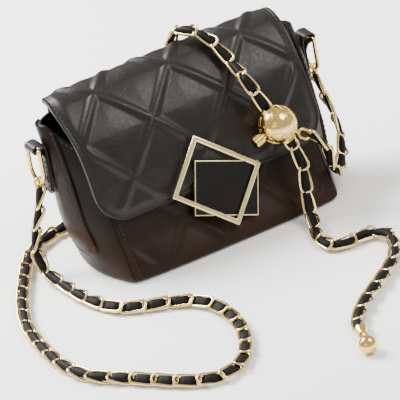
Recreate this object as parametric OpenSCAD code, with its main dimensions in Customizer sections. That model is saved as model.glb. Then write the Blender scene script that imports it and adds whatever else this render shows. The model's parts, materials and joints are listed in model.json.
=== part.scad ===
// Small quilted flap bag with a chain strap, a sliding ball adjuster and a metal ornament.
// Millimetres, +Z up, front towards -Y. The origin is the middle of the base, on the surface it stands on.

/* [Body] */
// Width between the two gusset seams
body_w = 168; // [130:1:200]
// Height of the back panel's top edge
body_h = 115; // [90:1:140]
// Depth of the base, front to back
base_d = 84; // [66:1:104]
// Thickness of a padded leather panel
wall = 4; // [3:0.5:5]
// Thickness of the base panel
base_t = 3.2; // [2:0.2:5]
// How far each gusset bulges out
gusset_bulge = 19; // [10:1:26]
// Leather thickness of a gusset
gusset_t = 2.5; // [1.5:0.1:3]
// Thickness of the raised tongue on a gusset
tongue_t = 1.5; // [1:0.1:2.5]

/* [Flap] */
// Width of the flap
flap_w = 184; // [150:1:220]
// Height of the flap's lower edge
flap_drop = 43; // [34:1:56]
// Thickness of the quilted outer layer
flap_t = 3.8; // [2.6:0.1:5]
// Thickness of the inner layer
flap_lining_t = 1; // [0.6:0.1:1.6]
// Radius of the flap's lower corners
flap_corner_r = 22; // [8:1:30]
// Air between the flap and the front panel
flap_gap = 1; // [0.6:0.1:2]

/* [Inside] */
// Thickness of the base board
board_t = 1.5; // [1:0.1:2.5]
// Thickness of the lining
lining_t = 0.9; // [0.5:0.1:1.5]
// Width of the slip pocket
pocket_w = 110; // [60:1:130]
// Height of the slip pocket
pocket_h = 52; // [30:1:60]
// Room inside the slip pocket
pocket_gap = 5; // [4.5:0.5:8]

/* [Ornament] */
// Short side of the metal frame
frame_w = 48; // [40:1:54]
// Long side of the metal frame
frame_h = 55.8; // [44:0.1:58]
// Width and thickness of the frame's bar
frame_bar = 3.8; // [2.5:0.1:5]
// Long side of the black plate
plate_w = 49.3; // [42:0.1:52]
// Short side of the black plate
plate_h = 39.3; // [36:0.1:44]
// Thickness of the black plate
plate_t = 2.4; // [1.6:0.1:3.2]
// Width of the plate's metal rim
rim_w = 0.8; // [0.8:0.1:2]

/* [Rings and tabs] */
// Wire diameter of a D-ring
ring_wire = 3.2; // [2.4:0.1:4]
// Half width of a D-ring, to the wire's centre
ring_half = 9.4; // [8.6:0.1:12]
// Height of a D-ring, bar to bottom, at the wire's centres
ring_h = 27; // [24:1:30]
// Width of a leather tab
tab_w = 13; // [10:0.5:13.5]
// Leather thickness of a tab
tab_t = 3; // [2:0.1:3.4]
// Height of a tab's lower end
tab_low = 58; // [50:1:66]
// Height of a D-ring's bar
ring_z = 98; // [80:1:100]

/* [Ball] */
// Diameter of the ball adjuster
ball_d = 27; // [24:0.5:34]
// Thickness of the ball's shell
ball_wall = 1.6; // [1:0.1:2]
// Diameter of the push button
button_d = 8; // [6:0.5:9]
// How far the push button stands out
button_h = 7; // [5:0.5:9]
// Travel of the push button
button_travel = 1.8; // [1:0.1:2.2]
// Diameter of the charm ball at the strap's end
charm_d = 13.5; // [10:0.5:16]

/* [Strap] */
// Outer diameter of the woven chain
strand_d = 9.5; // [7:0.5:10.5]

/* [Hidden] */

leather = "#1d1b1a";
leather_brown = "#3a2a20";
gold = "#d9bb78";
pale_gold = "#d8cba4";
cloth = "#2b2523";

seam = 0.2;              // air between pieces that are sewn together
fit = 0.4;               // running clearance round a shaft or a strand
big = 400;
back_y = base_d / 2;     // outer face of the back panel
half_w = body_w / 2;

// The front face from the base, up and over the top to the flap's hinge.
// Each point is a share of the base depth from the back, and a share of the back panel's height.
front_shape = [[1, 0.03], [0.93, 0.16], [0.845, 0.27], [0.778, 0.385], [0.728, 0.485],
    [0.675, 0.59], [0.605, 0.72], [0.51, 0.835], [0.385, 0.935], [0.255, 1.005],
    [0.165, 1.033], [0.083, 1.039]];
line_steps = 3;          // straight pieces between two points of the shape

function unit(v) = v / norm(v);
function lerp(a, b, t) = a + (b - a) * t;
function ease(t) = let (s = min(max(t, 0), 1)) s * s * (3 - 2 * s);

function spline(a, b, c, d, t) =
    0.5 * (2 * b + (c - a) * t + (2 * a - 5 * b + 4 * c - d) * t * t
        + (3 * b - a - 3 * c + d) * t * t * t);
function smooth_line(p, n) = let (last = len(p) - 1) [
    for (i = [0:last - 1]) for (j = [0:n - 1])
        spline(p[max(i - 1, 0)], p[i], p[i + 1], p[min(i + 2, last)], j / n),
    p[last]];
function side_of(p, i) = let (d = p[min(i + 1, len(p) - 1)] - p[max(i - 1, 0)]) [-d[1], d[0]] / norm(d);
function shifted(p, t) = [for (i = [0:len(p) - 1]) p[i] + side_of(p, i) * t];
function reversed(p) = [for (i = [len(p) - 1:-1:0]) p[i]];
// The front face's Y at a height, on a line of [y, z] points that climbs
function y_at(p, z) = lookup(z, [for (q = p) [q[1], q[0]]]);

front_line = smooth_line([for (s = front_shape) [back_y - s[0] * base_d, s[1] * body_h]], line_steps);
front_top = 0.835 * body_h;                                     // top edge of the front panel
gusset_top = 0.955 * body_h;
panel_line = [for (q = front_line) if (q[1] <= front_top + 0.01) q];
flap_line = [for (q = front_line) if (q[1] >= flap_drop - 12) q];
hinge_end = front_line[len(front_line) - 1];
hinge = [hinge_end[0], hinge_end[1] + flap_gap];                // the flap turns about this line
flap_whole = flap_lining_t + seam + flap_t;
bead_r = flap_whole;

// A profile of [y, z] points drawn out along X, about the middle
module along_x(w) {
    translate([-w / 2, 0, 0]) rotate([90, 0, 90]) linear_extrude(w) children();
}

// The band between two offsets of a line
module band(p, low, high) {
    polygon(concat(shifted(p, high), reversed(shifted(p, low))));
}

// A closed slab between an outer and an inner grid of points, rows upwards
module slab(outer, inner) {
    rows = len(outer) - 1;
    cols = len(outer[0]) - 1;
    count = (rows + 1) * (cols + 1);
    function at(r, c) = r * (cols + 1) + c;
    faces = concat(
        [for (r = [0:rows - 1]) for (c = [0:cols - 1])
            let (a = at(r, c), b = at(r, c + 1), e = at(r + 1, c + 1), d = at(r + 1, c))
            each [[a, d, e], [a, e, b],
                [a + count, e + count, d + count], [a + count, b + count, e + count]]],
        [for (c = [0:cols - 1]) let (a = at(0, c), b = at(0, c + 1))
            each [[a, b, b + count], [a, b + count, a + count]]],
        [for (c = [0:cols - 1]) let (d = at(rows, c), e = at(rows, c + 1))
            each [[e, d, d + count], [e, d + count, e + count]]],
        [for (r = [0:rows - 1]) let (a = at(r, 0), d = at(r + 1, 0))
            each [[d, a, a + count], [d, a + count, d + count]]],
        [for (r = [0:rows - 1]) let (b = at(r, cols), e = at(r + 1, cols))
            each [[b, e, e + count], [b, e + count, b + count]]]);
    polyhedron([for (row = outer) each row, for (row = inner) each row], faces);
}

// ---- Gusset surface: u runs from front to back, z upwards, t outwards from the leather's face
gusset_low = base_t + seam;
function bulge(z) = gusset_bulge * (0.45 + 0.55 * ease(z / (0.4 * body_h)));
function gusset_flat(u, z) =
    let (front = y_at(front_line, min(z, gusset_top)) + 0.5, back = back_y - 0.5)
    [half_w + seam + bulge(z) * pow(max(sin(180 * u), 0), 0.75), lerp(front, back, u)];
function gusset_edge(u) = front_top + (gusset_top - front_top) * ease(u / 0.35);
function gusset_out(u, z) =
    let (d = gusset_flat(min(u + 0.03, 1), z) - gusset_flat(max(u - 0.03, 0), z)) [d[1], -d[0]] / norm(d);
function gusset_point(u, v, low, t) =
    let (z = lerp(low, gusset_edge(u), v), p = gusset_flat(u, z) + gusset_out(u, z) * t)
    [max(p[0], half_w + seam), p[1], z];
function gusset_grid(low, t, cols, rows) =
    [for (r = [0:rows]) [for (c = [0:cols]) gusset_point(c / cols, r / rows, low, t)]];

tongue_low = 14;
tongue_half = 0.28;
tongue_lift = 0.5;       // clears the gusset's flat facets
function tongue_grid(t, cols, rows) =
    [for (r = [0:rows]) let (v = r / rows, half = tongue_half * sin(90 * min(1, 0.2 + v * 6)))
        [for (c = [0:cols]) gusset_point(0.5 + half * (2 * c / cols - 1), v, tongue_low, t)]];

module gusset() {
    color(leather) slab(gusset_grid(gusset_low, 0, 14, 10), gusset_grid(gusset_low, -gusset_t, 14, 10));
}

module gusset_tongue() {
    color(leather_brown)
        slab(tongue_grid(tongue_lift + tongue_t, 8, 12), tongue_grid(tongue_lift, 8, 12));
}

// ---- Panels
module front_panel() {
    color(leather) difference() {
        along_x(body_w) difference() {
            band(panel_line, -wall, 0);
            translate([-big / 2, base_t + seam - big]) square(big);
        }
        on_front(snap_up) cylinder(r = snap_r + seam, h = 2 * snap_t, center = true, $fn = 48);
    }
}

module back_panel() {
    top = hinge[1] - bead_r - 0.5;
    color(leather) translate([-half_w, back_y - wall, base_t + seam])
        cube([body_w, wall, top - base_t - seam]);
}

module base_panel() {
    side = [for (i = [0:14]) gusset_flat(i / 14, gusset_low)];
    front = [[half_w, -back_y], [-half_w, -back_y]];
    back = [[-half_w, back_y], [half_w, back_y]];
    left = [for (p = side) [-p[0], p[1]]];
    color(leather_brown) linear_extrude(base_t)
        polygon(concat(front, left, back, reversed(side)));
}

module base_board() {
    color("#6b5a48") translate([-half_w + 1, -back_y + 6, base_t + 0.3])
        cube([body_w - 2, base_d - wall - 7, board_t]);
}

// A strip of cloth down the back, across the base and up the front
module lining() {
    low = base_t + board_t + 0.6;
    inner = [for (q = shifted(panel_line, -wall - 0.3)) if (q[1] > low) q];
    top = front_top - 2;
    back = back_y - wall - 0.3;
    start = y_at(inner, low);
    module outline(t) {
        polygon(concat([[back - t, low + t], [start + t, low + t]],
            [for (q = shifted(inner, -t)) if (q[1] > low + t && q[1] < top) q],
            [[y_at(shifted(inner, -t), top), top], [y_at(shifted(inner, -t), top), top + t],
            [back - t, top + t]]));
    }
    color(cloth) along_x(body_w - 2) difference() {
        intersection() { outline(0); translate([-big / 2, 0]) square([big, top]); }
        outline(lining_t);
    }
}

pocket_y = back_y - wall - 0.3 - lining_t - seam;
module slip_pocket() {
    low = 0.27 * body_h;
    t = 1.2;
    color(cloth) translate([-pocket_w / 2, pocket_y - pocket_gap - t, low]) difference() {
        cube([pocket_w, pocket_gap + t, pocket_h]);
        translate([t, t, t]) cube([pocket_w - 2 * t, big, pocket_h]);
    }
}

// ---- Places on the front face: the origin on the face, Z straight out of it, Y up it
snap_up = 0.5 * body_h;
function front_tilt(z) =
    let (low = y_at(front_line, z - 3), high = y_at(front_line, z + 3)) atan2(high - low, 6);
module on_front(z, out = 0) {
    translate([0, y_at(front_line, z), z]) rotate([90 - front_tilt(z), 0, 0])
        translate([0, 0, out]) children();
}

// ---- Flap
module flap_outline() {
    half = flap_w / 2 - flap_corner_r;
    translate([-flap_w / 2, flap_drop + flap_corner_r]) square([flap_w, big]);
    translate([-half, flap_drop]) square([2 * half, big]);
    for (s = [-1, 1]) translate([s * half, flap_drop + flap_corner_r]) circle(r = flap_corner_r, $fn = 96);
}

module flap_layer(low, high) {
    intersection() {
        along_x(flap_w) band(flap_line, low, high);
        rotate([90, 0, 0]) linear_extrude(big, center = true) flap_outline();
    }
}

module flap_panel() {
    color(leather) difference() {
        union() {
            difference() {
                flap_layer(flap_gap + flap_lining_t + seam, flap_gap + flap_whole);
                translate([0, hinge[0], hinge[1]]) rotate([0, 90, 0])
                    cylinder(r = bead_r, h = flap_w + 1, center = true, $fn = 96);
            }
            translate([0, hinge[0], hinge[1]]) rotate([0, 90, 0])
                cylinder(r = bead_r, h = flap_w, center = true, $fn = 96);
        }
        post_shafts(post_r + 0.1);
        on_front(snap_up, flap_gap) cylinder(r = snap_r + seam, h = 2 * snap_t, center = true, $fn = 48);
    }
}

module flap_lining() {
    color(cloth) difference() {
        flap_layer(flap_gap, flap_gap + flap_lining_t);
        translate([0, hinge[0], hinge[1]]) rotate([0, 90, 0])
            cylinder(r = bead_r + seam, h = flap_w + 1, center = true, $fn = 96);
        post_shafts(post_r + 0.1);
        on_front(snap_up, flap_gap) cylinder(r = snap_r + seam, h = 2 * snap_t, center = true, $fn = 48);
    }
}

// ---- Magnetic snap
snap_r = 8;
snap_t = 1.6;
stud_r = 2;
module snap_socket() {
    color(gold) on_front(snap_up) difference() {
        translate([0, 0, -snap_t + 0.1]) cylinder(r = snap_r, h = snap_t - 0.1, $fn = 48);
        cylinder(r = stud_r + 0.9, h = 3 * snap_t, center = true, $fn = 32);
    }
}

module snap_stud() {
    color(gold) on_front(snap_up, flap_gap) {
        translate([0, 0, 0.1]) cylinder(r = snap_r, h = snap_t - 0.2, $fn = 48);
        translate([0, 0, -flap_gap - 0.8]) cylinder(r = stud_r, h = flap_gap + 1, $fn = 32);
    }
}

// ---- Ornament, on the flap's lower edge: a turned frame over a plate turned the other way
ornament_z = flap_drop + 0.5;
ornament_out = flap_gap + flap_whole + 0.9;
frame_turn = 48.8;
frame_shift = [-3.1, 0.4];
plate_turn = -20.4;
plate_shift = [3.1, -7.8];
post_r = 1.5;
posts = [[-12, 6], [12, 6]];
module on_flap() { on_front(ornament_z, ornament_out) children(); }

module flat_plate(w, h, t) {
    linear_extrude(t) square([w, h], center = true);
}

module ornament_plate() {
    color("#141312") on_flap() translate(plate_shift) rotate(plate_turn)
        flat_plate(plate_w - 2 * rim_w - 0.1, plate_h - 2 * rim_w - 0.1, plate_t);
}

module ornament_plate_rim() {
    color(pale_gold) on_flap() translate(plate_shift) rotate(plate_turn) difference() {
        flat_plate(plate_w, plate_h, plate_t + 0.4);
        translate([0, 0, -1]) flat_plate(plate_w - 2 * rim_w, plate_h - 2 * rim_w, plate_t + 3);
    }
}

module ornament_frame() {
    place = [frame_shift[0], frame_shift[1], plate_t + 0.5];
    color(pale_gold) on_flap() translate(place) rotate(frame_turn) difference() {
        flat_plate(frame_w, frame_h, frame_bar * 0.75);
        translate([0, 0, -1])
            flat_plate(frame_w - 2 * frame_bar, frame_h - 2 * frame_bar, frame_bar + 2);
    }
}

module post_shafts(r) {
    for (p = posts) on_flap() translate([p[0], p[1], -flap_whole - 0.9])
        cylinder(r = r, h = flap_whole + 0.9, $fn = 32);
}

module ornament_posts() {
    color(gold) post_shafts(post_r);
}

// ---- Tabs and D-rings
ring_y = 21;
tab_x = half_w + seam + gusset_bulge + tongue_lift + tongue_t + 0.3;
ring_x = tab_x + tab_t + 5.2;
loop_bore = ring_wire / 2 + fit;
loop_r = loop_bore + 2.4;
module tab() {
    color(leather) difference() {
        union() {
            translate([tab_x, ring_y - tab_w / 2, tab_low + tab_w / 2])
                cube([tab_t, tab_w, ring_z - tab_low - tab_w / 2]);
            translate([tab_x, ring_y, tab_low + tab_w / 2]) rotate([0, 90, 0])
                cylinder(r = tab_w / 2, h = tab_t, $fn = 64);
            translate([tab_x, ring_y - tab_w / 2, ring_z - loop_r / 2])
                cube([ring_x - tab_x, tab_w, loop_r * 1.5]);
            translate([ring_x, ring_y, ring_z]) rotate([90, 0, 0])
                cylinder(r = loop_r, h = tab_w, center = true, $fn = 64);
        }
        translate([ring_x, ring_y, ring_z]) rotate([90, 0, 0])
            cylinder(r = loop_bore, h = tab_w + 2, center = true, $fn = 64);
    }
}

module d_ring() {
    r = ring_wire / 2;
    bow_z = ring_z - ring_h + ring_half;
    color(gold) {
        translate([ring_x, ring_y, ring_z]) rotate([90, 0, 0])
            cylinder(r = r, h = 2 * ring_half, center = true, $fn = 48);
        for (s = [-1, 1]) translate([ring_x, ring_y + s * ring_half, 0]) {
            translate([0, 0, bow_z]) cylinder(r = r, h = ring_z - bow_z, $fn = 48);
            translate([0, 0, ring_z]) sphere(r = r, $fn = 48);
        }
        translate([ring_x, ring_y, bow_z]) rotate([0, 90, 0]) rotate([0, 0, -90])
            rotate_extrude(angle = 180, $fn = 96) translate([ring_half, 0]) circle(r = r, $fn = 48);
    }
}

// The small ring that joins the strap to a D-ring
link_wire = 2;
link_in = 2.6;
link_z = ring_z - ring_h - link_in + ring_wire / 2 + 0.3;
link_low = link_z - link_in - link_wire - 0.8;      // where the strand starts
module strap_link() {
    color(gold) translate([ring_x, ring_y, link_z]) rotate([90, 0, 0])
        rotate_extrude($fn = 96) translate([link_in + link_wire / 2, 0]) circle(r = link_wire / 2, $fn = 32);
}

ball_gap = 1.9;          // air between the ball and the flap

// ---- Ball adjuster. In its own frame Z is the strand's way up and -X is the button's way out.
ball_z = 0.626 * body_h;
ball_out = flap_gap + flap_whole + ball_d / 2 + ball_gap;
ball_c = [51, y_at(front_line, ball_z) - ball_out / cos(front_tilt(ball_z)), ball_z];
ball_lean = -22;
ball_roll = -17;
side_turn = 146;         // where the second strand leaves, from the strand's way up
seam_turn = 28;          // lean of the seam between the shells
ball_r = ball_d / 2;
bore_r = strand_d / 2 + fit;
collar_h = 0.6;
collar_wall = 0.8;
function turned_y(p, a) = [p[0] * cos(a) + p[2] * sin(a), p[1], p[2] * cos(a) - p[0] * sin(a)];
function turned_x(p, a) = [p[0], p[1] * cos(a) - p[2] * sin(a), p[1] * sin(a) + p[2] * cos(a)];
function from_ball(p) = ball_c + turned_x(turned_y(p, ball_roll), ball_lean);
function side_point(r) = from_ball([r * sin(side_turn), 0, r * cos(side_turn)]);
module in_ball() { translate(ball_c) rotate([ball_lean, 0, 0]) rotate([0, ball_roll, 0]) children(); }
module to_side() { rotate([0, side_turn, 0]) children(); }
module to_button() { rotate([0, -90, 0]) children(); }

ring_t = 1.8;            // height of the seam ring
module ball_half(upper) {
    difference() {
        union() {
            sphere(r = ball_r, $fn = 96);
            cylinder(r = bore_r + collar_wall, h = 2 * (ball_r + collar_h), center = true, $fn = 64);
        }
        sphere(r = ball_r - ball_wall, $fn = 96);
        cylinder(r = bore_r, h = 4 * ball_r, center = true, $fn = 64);
        to_button() cylinder(r = button_stem_r + fit, h = 2 * ball_r, $fn = 48);
        rotate([0, seam_turn, 0])
            translate([-big / 2, -big / 2, upper ? ring_t / 2 + 0.1 - big : -ring_t / 2 - 0.1]) cube(big);
        to_side() translate([0, 0, ball_r - 0.4]) cylinder(r = eye_r + 1, h = 10, $fn = 48);
    }
}

module ball_upper_shell() { color(gold) in_ball() ball_half(true); }
module ball_lower_shell() { color(gold) in_ball() ball_half(false); }

module ball_seam_ring() {
    color(gold) in_ball() rotate([0, seam_turn, 0]) rotate_extrude($fn = 128)
        translate([ball_r - ball_wall, -ring_t / 2]) square([ball_wall + 0.6, ring_t]);
}

eye_r = 2;
eye_end = ball_r + 2.5;
eye_link_end = ball_r + 13.5;
module ball_side_eye() {
    color(gold) in_ball() to_side() translate([0, 0, ball_r - 0.3])
        cylinder(r = eye_r, h = eye_end - ball_r + 0.3, $fn = 48);
}

module ball_eye_link() {
    wire = 2.2;
    half = 3.2;
    long = eye_link_end - eye_end;
    mid = (eye_end + eye_link_end) / 2;
    reach = long / 2 - wire / 2 - half;
    color(gold) in_ball() to_side() translate([0, 0, mid]) rotate([90, 0, 0]) {
        for (s = [-1, 1]) {
            translate([s * half, 0, 0]) rotate([90, 0, 0])
                cylinder(r = wire / 2, h = 2 * reach, center = true, $fn = 32);
            translate([0, s * reach, 0]) rotate([0, 0, s > 0 ? 0 : 180])
                rotate_extrude(angle = 180, $fn = 64) translate([half, 0]) circle(r = wire / 2, $fn = 32);
        }
    }
}

// The button's plunger holds the strand in its window; a spring pushes it out
button_stem_r = 2.4;
knob_start = ball_r + button_travel + 0.4;
plunger_t = 4;
window = strand_d + 2 * fit + button_travel;
plunger_w = strand_d + 2 * fit + 3;
window_start = -strand_d / 2 - fit - button_travel;       // the window's end nearest the button
plunger_start = window_start - 1.4;
plunger_end = window_start + window + 1.2;
module push_button() {
    color(gold) in_ball() to_button() {
        translate([0, 0, -plunger_start])
            cylinder(r = button_stem_r, h = knob_start + plunger_start, $fn = 48);
        translate([0, 0, knob_start]) difference() {
            cylinder(r = button_d / 2, h = button_h, $fn = 64);
            for (i = [0:19]) rotate([0, 0, 18 * i]) translate([button_d / 2, 0, 1])
                cylinder(r = 0.35, h = button_h - 2, $fn = 16);
        }
    }
}

module button_plunger() {
    color(gold) in_ball() difference() {
        translate([plunger_start, -plunger_w / 2, -plunger_t / 2])
            cube([plunger_end - plunger_start, plunger_w, plunger_t]);
        for (x = [window_start + bore_r, window_start + window - bore_r])
            translate([x, 0, 0]) cylinder(r = bore_r, h = plunger_t + 2, center = true, $fn = 64);
        translate([window_start + bore_r, -bore_r, -plunger_t])
            cube([window - 2 * bore_r, 2 * bore_r, 2 * plunger_t]);
    }
}

spring_r = 1.8;
module button_spring() {
    start = plunger_end + 0.4;
    end = sqrt(pow(ball_r - ball_wall, 2) - pow(spring_r + 0.5, 2)) - 0.4;
    turns = 3;
    steps = 36;
    path = [for (i = [0:steps]) let (a = 360 * turns * i / steps)
        [lerp(start, end, i / steps), spring_r * cos(a), spring_r * sin(a)]];
    color("silver") in_ball() tube(path, 0.3, 6);
}

// ---- Strap: one tube swept along the chosen route
function tangents(p) = [for (i = [0:len(p) - 1])
    unit(p[min(i + 1, len(p) - 1)] - p[max(i - 1, 0)])];
function sides(t) = [for (i = 0, u = unit(cross(t[0], abs(t[0][2]) > 0.9 ? [0, 1, 0] : [0, 0, 1]));
    i < len(t);
    i = i + 1, u = i < len(t) ? unit(u - (u * t[i]) * t[i]) : u) u];

module tube_rings(p, from, to, r, n) {
    t = tangents(p);
    u = sides(t);
    count = to - from;
    points = [for (i = [from:to]) for (k = [0:n - 1])
        p[i] + r * (cos(360 * k / n) * u[i] + sin(360 * k / n) * cross(t[i], u[i]))];
    faces = concat(
        [[for (k = [0:n - 1]) k]],
        [for (i = [0:count - 1]) for (k = [0:n - 1]) let (a = i * n + k, b = i * n + (k + 1) % n)
            each [[a, a + n, b + n], [a, b + n, b]]],
        [[for (k = [n - 1:-1:0]) count * n + k]]);
    polyhedron(points, faces);
}

module tube(p, r, n) { tube_rings(p, 0, len(p) - 1, r, n); }

module strand(p, from, to) {
    color(gold) tube_rings(p, from, to, strand_d / 2, 10);
}

// The long strand: left D-ring, floor loop, up the back, over the top and through the ball
hang = ring_x;
function past_hinge(x, y, z) = [x, hinge[0] + y, hinge[1] + z];
long_route = [
    [-hang, ring_y, link_low], [-hang - 1.3, 22, 48], [-hang - 5.3, 23, 34], [-hang - 11.3, 19, 20],
    [-hang - 13.3, 6, 9],
    [-125, -12, 5], [-124, -34, 5], [-120, -55, 5], [-111, -73, 5], [-94, -85, 5], [-76, -95, 5],
    [-63, -112, 5], [-60, -136, 5], [-64, -161, 5], [-75, -186, 5], [-90, -205, 5], [-112, -212, 5],
    [-131, -200, 5], [-147, -181, 5], [-162, -161, 5], [-175, -141, 5], [-181, -117, 5],
    [-181, -92, 5], [-178, -67, 5], [-172, -42, 5], [-161, -17, 5], [-147, 7, 5], [-132, 30, 5],
    [-115, back_y + 7, 5], [-95, back_y + 17, 5], [-73, back_y + 20, 5], [-50, back_y + 19, 5],
    [-28, back_y + 17, 5], [-6, back_y + 15, 5], [9, back_y + 12, 8], [17, back_y + 8, 20],
    [18, back_y + 6, 0.365 * body_h], [18, back_y + 5.5, 0.555 * body_h], [18, back_y + 5.5, 0.75 * body_h],
    [18, back_y + 6, hinge[1] - 14.5], [18.5, back_y + 6, hinge[1] - 4.5], past_hinge(20, 10, 5.5),
    past_hinge(23, 3, 11.5), past_hinge(28, -6, 12.5), past_hinge(33, -16, 9.5), past_hinge(37, -26, 2.5),
    past_hinge(40, -39, -7.5), from_ball([0, 0, 40]), from_ball([0, 0, 30]), from_ball([0, 0, -19])];
left_end = 5;
loop_end = 30;
back_end = 39;
ridge_end = 47;
front_end = 49;

// The tail: out of the ball, down to the floor and away to the charm
tail_route = [
    from_ball([0, 0, -16]), from_ball([0, 0, -19]), from_ball([0, 0, -25]), [60, -49, 38], [59, -51, 26],
    [56, -56, 13],
    [51, -70, 5], [42, -88, 5], [41, -104, 5], [52, -111, 5], [67, -110, 5], [78, -117, 5],
    [79, -133, 5], [69, -153, 5], [52, -169, 5], [34, -183, 5], [16, -196, 5], [0, -212, 5],
    [-5, -226, 5]];
tail_start = 1;
tail_floor = 6;
tail_end = 18;

// The short strand: right D-ring, a slack curve, and up to the ball's eye
near_eye = side_point(41);
side_route = [
    [hang, ring_y, link_low], [hang + 3.3, 15, 48], [hang + 2.3, 3, 35], [hang - 3.7, -12, 25],
    [hang - 13.7, -27, 19], near_eye + [6, 6.5, -28], near_eye + [0, 0.5, -17], near_eye + [-1.4, 0, -6],
    side_point(eye_link_end + 6.5), side_point(eye_link_end + 0.4)];
side_low = 1;
side_rise = 7;
side_end = 9;

// ---- Charm at the tail's end
end_point = tail_route[tail_end];
end_turn = atan2(end_point[1] - tail_route[tail_end - 1][1], end_point[0] - tail_route[tail_end - 1][0]);
pivot_x = 10;
charm_x = 26;
charm_lift = asin((charm_d / 2 - end_point[2]) / (charm_x - pivot_x));
module at_end() { translate(end_point) rotate([0, 0, end_turn]) children(); }

module strap_end_cap() {
    color(gold) at_end() difference() {
        union() {
            rotate([0, 90, 0]) cylinder(r1 = strand_d / 2, r2 = 2.6, h = 6.5, $fn = 64);
            translate([6, -3, -0.7]) cube([pivot_x - 6, 6, 1.4]);
            translate([pivot_x, 0, -0.7]) cylinder(r = 3, h = 1.4, $fn = 48);
        }
        translate([pivot_x, 0, 0]) cylinder(r = 2, h = 10, center = true, $fn = 48);
    }
}

module charm_ball() {
    wire = 0.8;
    loop_r = 4;
    ball_x = charm_x - pivot_x;
    color(gold) at_end() translate([pivot_x, 0, 0]) rotate([0, -charm_lift, 0]) {
        translate([ball_x, 0, 0]) sphere(r = charm_d / 2, $fn = 96);
        translate([loop_r, 0, 0]) rotate([90, 0, 0]) rotate_extrude($fn = 64)
            translate([loop_r, 0]) circle(r = wire, $fn = 24);
        translate([2 * loop_r, 0, 0]) rotate([0, 90, 0])
            cylinder(r = 1.4, h = ball_x - charm_d / 2 - 2 * loop_r + 0.5, $fn = 32);
    }
}

front_panel();
back_panel();
base_panel();
mirror([1, 0, 0]) gusset();  // left_gusset
gusset();  // right_gusset
mirror([1, 0, 0]) gusset_tongue();  // left_gusset_tongue
gusset_tongue();  // right_gusset_tongue
base_board();
lining();
slip_pocket();
mirror([1, 0, 0]) tab();  // left_tab
tab();  // right_tab
snap_socket();
flap_panel();
flap_lining();
snap_stud();
ornament_plate();
ornament_plate_rim();
ornament_frame();
ornament_posts();
ball_upper_shell();
ball_lower_shell();
ball_seam_ring();
ball_side_eye();
ball_eye_link();
push_button();
button_plunger();
button_spring();
mirror([1, 0, 0]) d_ring();  // left_d_ring
d_ring();  // right_d_ring
mirror([1, 0, 0]) strap_link();  // left_strap_link
strap_link();  // right_strap_link
strap_end_cap();
charm_ball();
strand(long_route, 0, left_end);  // strap_left_drop
strand(long_route, left_end, loop_end);  // strap_floor_loop
strand(long_route, loop_end, back_end);  // strap_back_run
strand(long_route, back_end, ridge_end);  // strap_over_ridge
strand(long_route, ridge_end, front_end);  // strap_front
strand(tail_route, tail_start, tail_floor);  // strap_tail_drop
strand(tail_route, tail_floor, tail_end);  // strap_tail_floor
strand(side_route, 0, side_low);  // strap_right_drop
strand(side_route, side_low, side_rise);  // strap_right_rise
strand(side_route, side_rise, side_end);  // strap_right_end
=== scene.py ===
import json
import math

import bmesh
import bpy
import numpy as np
from mathutils import Matrix, Vector, noise


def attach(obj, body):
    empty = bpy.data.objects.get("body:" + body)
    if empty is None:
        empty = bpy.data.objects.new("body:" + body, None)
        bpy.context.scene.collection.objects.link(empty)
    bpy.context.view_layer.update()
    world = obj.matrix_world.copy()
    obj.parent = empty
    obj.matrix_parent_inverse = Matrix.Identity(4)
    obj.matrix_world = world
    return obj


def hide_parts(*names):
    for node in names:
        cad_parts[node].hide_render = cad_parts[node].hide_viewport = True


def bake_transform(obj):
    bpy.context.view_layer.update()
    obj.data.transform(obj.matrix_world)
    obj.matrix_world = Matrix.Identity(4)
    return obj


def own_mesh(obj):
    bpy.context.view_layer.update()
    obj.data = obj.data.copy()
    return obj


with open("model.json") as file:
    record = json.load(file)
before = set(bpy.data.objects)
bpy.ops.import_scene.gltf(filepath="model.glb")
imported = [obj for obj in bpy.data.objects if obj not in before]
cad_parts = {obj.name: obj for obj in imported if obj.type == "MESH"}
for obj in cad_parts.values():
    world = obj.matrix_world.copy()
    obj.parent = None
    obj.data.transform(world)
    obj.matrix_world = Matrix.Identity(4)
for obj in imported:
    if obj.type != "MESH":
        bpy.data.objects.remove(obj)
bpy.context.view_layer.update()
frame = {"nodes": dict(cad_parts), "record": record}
nodes = frame["nodes"]
slotOf = {row["node"]: row["material_slot"] for row in frame["record"]["subparts"]}
scene = bpy.context.scene
mm = 0.001  # shapes are drawn in millimetres and made in metres


# Node helper, used for shaders and for geometry trees
def addNode(tree, kind, props=None, inputs=None):
    node = tree.nodes.new(kind)
    for key, value in (props or {}).items():
        setattr(node, key, value)
    for key, value in (inputs or {}).items():
        if isinstance(value, bpy.types.NodeSocket):
            tree.links.new(value, node.inputs[key])
        else:
            node.inputs[key].default_value = value
    return node


def toLinear(code):
    channels = [int(code[i:i + 2], 16) / 255 for i in (1, 3, 5)]
    return [c / 12.92 if c <= 0.04045 else ((c + 0.055) / 1.055) ** 2.4 for c in channels] + [1]


# ---- Camera
cameraSet = {"aim": (-0.0119, -0.0199, 0.030), "azimuth": -25, "elevation": 28, "roll": 10.4,
        "distance": 6.0, "viewWidth": 0.2839}


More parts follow.
